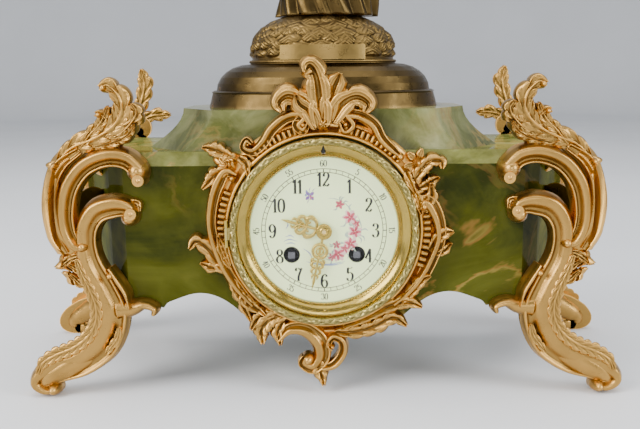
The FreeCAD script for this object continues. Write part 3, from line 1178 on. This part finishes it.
def anchor():
    """Anchor on its arbor, with the crutch behind the back plate whose fork straddles the pendulum rod."""
    drop = ANCHOR[1] - ESCAPE[1]
    arms = []
    for side in (-1, 1):
        tip = (side * (ESCAPE_RADIUS * 0.72), ESCAPE[1] + ESCAPE_RADIUS * 0.72)
        arms.append(rod(1.0, (0, ANCHOR_PLANE, ANCHOR[1]), (tip[0] * 1.35, ANCHOR_PLANE, tip[1] + 2.2)))
        root, point = (tip[0] * 1.35, tip[1] + 2.6), (tip[0] * 1.2, tip[1] - 0.4)
        arms.append(rod(0.8, (root[0], ANCHOR_PLANE, root[1]), (point[0], ANCHOR_PLANE, point[1])))
    clear = bar_y(ESCAPE_RADIUS + PALLET_CLEAR + drop * math.radians(SWING), ESCAPE, -90, 90)
    pallets = arms[0].multiFuse(arms[1:]).cut(clear)
    shaft = [bar_y(PIVOT, ANCHOR, FRONT_PLATE[0], CRUTCH_Y[1]),
             bar_y(SHAFT, ANCHOR, FRONT_PLATE[1] + RUN_GAP, CRUTCH_Y[1])]
    bar = box_between((-1, CRUTCH_Y[0], ANCHOR[1] - CRUTCH_LONG), (1, CRUTCH_Y[1], ANCHOR[1] + 1.5))
    fork = []
    for side in (-1, 1):
        fork.append(rod(0.6, (side * 1.7, CRUTCH_Y[0], ANCHOR[1] - CRUTCH_LONG + 1),
                        (side * 1.7, PENDULUM_Y + 2, ANCHOR[1] - CRUTCH_LONG + 1)))
    fork_z = ANCHOR[1] - CRUTCH_LONG
    bridge = box_between((-2.3, CRUTCH_Y[0], fork_z), (2.3, CRUTCH_Y[1], fork_z + 2))
    whole = shaft[0].multiFuse(shaft[1:] + [pallets, bar, bridge] + fork)
    shaped("anchor", max(whole.Solids, key=lambda s: s.Volume))


SWING = 3.0
ANCHOR_PLANE = (ESCAPE_WHEEL_Y[0] + ESCAPE_WHEEL_Y[1]) / 2
CRUTCH_LONG = 26.0


def suspension():
    """Back cock, the regulating block it guides, and the regulator arbor that drives the block."""
    top = CENTRE[1] + REGULATOR_UP
    foot = box_between((-9, BACK_PLATE[1], ANCHOR[1] - 6), (9, BACK_PLATE[1] + 0.8, ANCHOR[1] + 6.5))
    foot = foot.cut(bar_y(3.0, ANCHOR, BACK_PLATE[0], BACK_PLATE[1] + 3))
    cheeks = []
    for side in (-1, 1):
        low, high = sorted((side * 6, side * 9))
        cheeks.append(box_between((low, BACK_PLATE[1], ANCHOR[1] + 3), (high, PENDULUM_Y + 4, top + 3)))
    bridge = box_between((-9, PENDULUM_Y - 4, top - 3.4), (9, PENDULUM_Y + 4, top + 3))
    cock = foot.multiFuse(cheeks + [bridge])
    cock = cock.cut(bar_y(REGULATOR_ROD + size("pivot_play"), (0, top), -90, 90))
    cock = cock.cut(bar_y(3.1, (0, top), BACK_PLATE[0], PENDULUM_Y - 4 + 0.01))
    shaped("back_cock", cock.removeSplitter())
    block = box_between((-5.7, PENDULUM_Y - 2.2, ANCHOR[1] + 4), (5.7, PENDULUM_Y + 2.2, ANCHOR[1] + 9))
    block = block.cut(box_between((-3.2, PENDULUM_Y - 0.3, 0), (3.2, PENDULUM_Y + 0.3, 400)))
    shaped("regulating_block", block)
    square = box_between((-1.2, REGULATOR_FRONT, top - 1.2), (1.2, REGULATOR_FRONT + 5, top + 1.2))
    arbor_rod = bar_y(REGULATOR_ROD, (0, top), REGULATOR_FRONT + 4, PENDULUM_Y + 6)
    collar = bar_y(2.6, (0, top), PENDULUM_Y + 4.2, PENDULUM_Y + 6)
    shaped("regulator_arbor", square.multiFuse([arbor_rod, collar]))


REGULATOR_ROD = 1.5
REGULATOR_FRONT = DIAL_FACE - 2.0


def pendulum():
    """Spring, rod and bob in one swinging body, hung on a pin in the cock."""
    spring_top = ANCHOR[1] + 14.0
    spring = box_between((-2.2, PENDULUM_Y - 0.1, ANCHOR[1] - 3), (2.2, PENDULUM_Y + 0.1, spring_top - 1))
    bob_z = ANCHOR[1] - size("pendulum_drop")
    bar = bar_z(0.8, (0, PENDULUM_Y), bob_z - size("bob_rad") + 1, ANCHOR[1] - 5)
    hook = box_between((-2.4, PENDULUM_Y - 0.9, ANCHOR[1] - 6), (2.4, PENDULUM_Y + 0.9, ANCHOR[1] - 2.5))
    shaped("pendulum_rod", bar.multiFuse([hook, spring]))
    rim, shoulder = size("bob_rad"), size("bob_rad") - 3
    profile = [(0.8, -2.6), (shoulder, -3.4), (rim, 0), (shoulder, 3.4), (0.8, 2.6), (0, 2.6), (0, -2.6)]
    points = [Vector(r, 0, z) for r, z in profile]
    bob = Part.Face(Part.makePolygon(points + points[:1])).revolve(Vector(), Vector(0, 0, 1), 360)
    bob.Placement = Placement(Vector(0, PENDULUM_Y, bob_z), FACING["back"])
    shaped("pendulum_bob", bob.cut(bar_z(0.8, (0, PENDULUM_Y), 0, 400)))


def bar_z(radius, at, z0, z1):
    return Part.makeCylinder(radius, z1 - z0, Vector(at[0], at[1], z0))


BELL_Y = (BACK_PLATE[1] + 24.0, BACK_PLATE[1] + 40.0)
BELL_WALL = 1.4
BELL_SEAT_DROP = 0.3
BELL_POST = (13.5, CENTRE[1] - 17.5)


def bell():
    """A shallow bell with its mouth forward, on a stand that passes beside the pendulum."""
    mouth, deep = size("bell_rad"), BELL_Y[1] - BELL_Y[0]
    outer = [(mouth, 0)] + arc_points((0, 0), (mouth - 1.5, deep), 8, 90, 8)
    inner = arc_points((0, 0), (mouth - 1.5 - BELL_WALL, deep - BELL_WALL), 8, 90, 8)
    inner.append((mouth - BELL_WALL, 0))
    points = [Vector(r, 0, z) for r, z in outer + inner[-2::-1] + [inner[-1]]]
    shell = Part.Face(Part.makePolygon(points + points[:1])).revolve(Vector(), Vector(0, 0, 1), 360)
    shell.Placement = Placement(Vector(0, BELL_Y[0], CENTRE[1]), FACING["back"])
    shaped("bell", shell.cut(bar_y(1.5, CENTRE, BELL_Y[0], BELL_Y[1] + 1)))
    arm_y = BELL_Y[0] + 3
    stand = bar_y(2.0, BELL_POST, BACK_PLATE[1] + 1.4, arm_y + 1)
    foot = bar_y(4.0, BELL_POST, BACK_PLATE[1], BACK_PLATE[1] + 1.5)
    arm = rod(1.6, (BELL_POST[0], arm_y, BELL_POST[1]), (0, arm_y, CENTRE[1]))
    stub = bar_y(1.5, CENTRE, arm_y - 1.6, BELL_Y[1] + 3)
    seat = bar_y(3.2, CENTRE, arm_y - 1, BELL_Y[1] - BELL_WALL - BELL_SEAT_DROP)
    nut = bar_y(3.0, CENTRE, BELL_Y[1], BELL_Y[1] + 2.6)
    shaped("bell_stand", stand.multiFuse([foot, arm, stub, seat, nut]))


def hammer():
    """Hammer arbor with its lifting tail between the plates, and the arm and head outside the bell's rim."""
    head_y = BELL_Y[0] + 3.5
    shaft = [bar_y(PIVOT, HAMMER, FRONT_PLATE[0], BACK_PLATE[1]),
             bar_y(SHAFT, HAMMER, FRONT_PLATE[1] + RUN_GAP, BACK_PLATE[1] + 3)]
    ring = PIN_TEETH * PIN_MODULE / 2 - 1.9
    toward = (PIN_WHEEL[0] - HAMMER[0], PIN_WHEEL[1] - HAMMER[1])
    apart = math.hypot(*toward)
    share = (apart - ring - 0.5 - 0.4) / apart
    tip = (HAMMER[0] + toward[0] * share, HAMMER[1] + toward[1] * share)
    tail_y = PIN_WHEEL_Y[0] - 1.6
    tail = rod(0.7, (HAMMER[0], tail_y, HAMMER[1]), (tip[0], tail_y, tip[1]))
    arm_z = CENTRE[1] - HAMMER_DROP
    arm_x = -math.sqrt((size("bell_rad") + HAMMER_HEAD + 0.5) ** 2 - HAMMER_DROP ** 2)
    lever = rod(0.9, (HAMMER[0], BACK_PLATE[1] + 1.8, HAMMER[1]), (arm_x, BACK_PLATE[1] + 1.8, arm_z))
    reach = rod(0.9, (arm_x, BACK_PLATE[1] + 1.0, arm_z), (arm_x, head_y + 1, arm_z))
    head = rod(HAMMER_HEAD, (arm_x, head_y - 2.2, arm_z), (arm_x, head_y + 2.2, arm_z))
    whole = shaft[0].multiFuse(shaft[1:] + [tail, lever, reach, head])
    shaped("hammer", whole)


HAMMER_HEAD = 2.6
HAMMER_DROP = 14.0


# ---------------------------------------------------------------- build and write

onyx_body()
onyx_slab()
onyx_top_block()
socle()
socle_fixings()
figure()
for side_name, side in (("left", -1), ("right", 1)):
    leg("leg_front_" + side_name, side, -1)
    leg("leg_rear_" + side_name, side, 1)
leg_screws()
cartouche()
dial_ring()
enamel_dial()
bezel()
hinge_pins()
rear_ring()
rear_door()
movement_straps()
plates()
pillars()
going_train()
strike_train()
clicks()
motion_work()
anchor()
suspension()
pendulum()
bell()
hammer()

doc.recompute()
for thing in doc.Objects:
    if {"Invalid", "Error"} & set(thing.State):
        raise RuntimeError(thing.Label + " failed: " + ", ".join(thing.State))
for piece in SUBPARTS:
    if piece.Shape.isNull() or not piece.Shape.isValid() or not piece.Shape.Solids:
        raise RuntimeError(piece.Label + " has no valid solid")

os.makedirs("parts", exist_ok=True)
for piece in SUBPARTS:
    piece.Shape.exportStep(os.path.join("parts", piece.Label + ".step"))
print(len(SUBPARTS), "pieces written")
